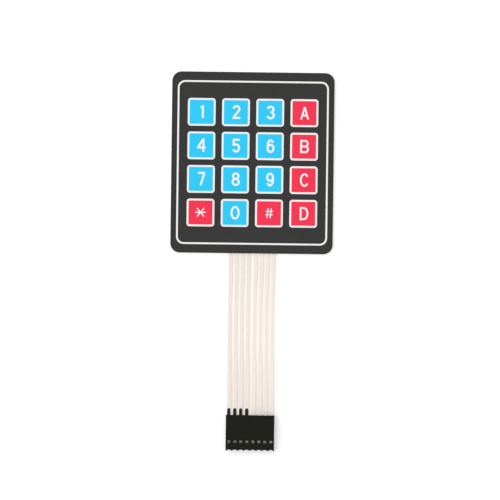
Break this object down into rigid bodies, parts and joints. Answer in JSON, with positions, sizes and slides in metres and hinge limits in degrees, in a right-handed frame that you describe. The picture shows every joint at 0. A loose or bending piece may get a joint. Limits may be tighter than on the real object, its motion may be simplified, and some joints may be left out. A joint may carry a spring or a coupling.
{
  "type": "membrane keypad",
  "caption": "Flat membrane keypad with blue and red square keys on a dark film, a film tail of two strips with printed traces, and a black crimp socket for a pin header.",
  "frame": {"origin": "centre of the pad's rear face, on the release liner", "axes": "+X along a row of keys, +Y away from the tail, +Z out of the key face"},
  "size_m": [0.069, 0.1609, 0.0029],
  "materials": {
    "overlay_film": "matte textured film",
    "white_print": "white print under matte film",
    "blue_print": "blue print under matte film",
    "red_print": "red print under matte film",
    "adhesive": "clear transfer adhesive",
    "circuit_film": "translucent film",
    "silver_ink": "printed silver ink",
    "spacer_film": "adhesive-coated film",
    "carbon_ink": "printed carbon ink",
    "liner_paper": "coated release paper",
    "housing_plastic": "satin moulded plastic",
    "contact_metal": "tin-plated strip"
  },
  "bodies": {
    "root": {"graphic_overlay": "overlay_film", "frame_line_print": "white_print", "key_outline_print": "white_print", "blue_key_print": "blue_print", "red_key_print": "red_print", "overlay_adhesive": "adhesive", "upper_circuit_film": "circuit_film", "column_traces": "silver_ink", "spacer": "spacer_film", "lower_circuit_film": "circuit_film", "row_traces": "silver_ink", "carbon_tips": "carbon_ink", "rear_adhesive": "adhesive", "release_liner": "liner_paper", "socket_housing": "housing_plastic", "crimp_contact_1": "contact_metal", "crimp_contact_2": "contact_metal", "crimp_contact_3": "contact_metal", "crimp_contact_4": "contact_metal", "crimp_contact_5": "contact_metal", "crimp_contact_6": "contact_metal", "crimp_contact_7": "contact_metal", "crimp_contact_8": "contact_metal"}
  },
  "joints": []
}
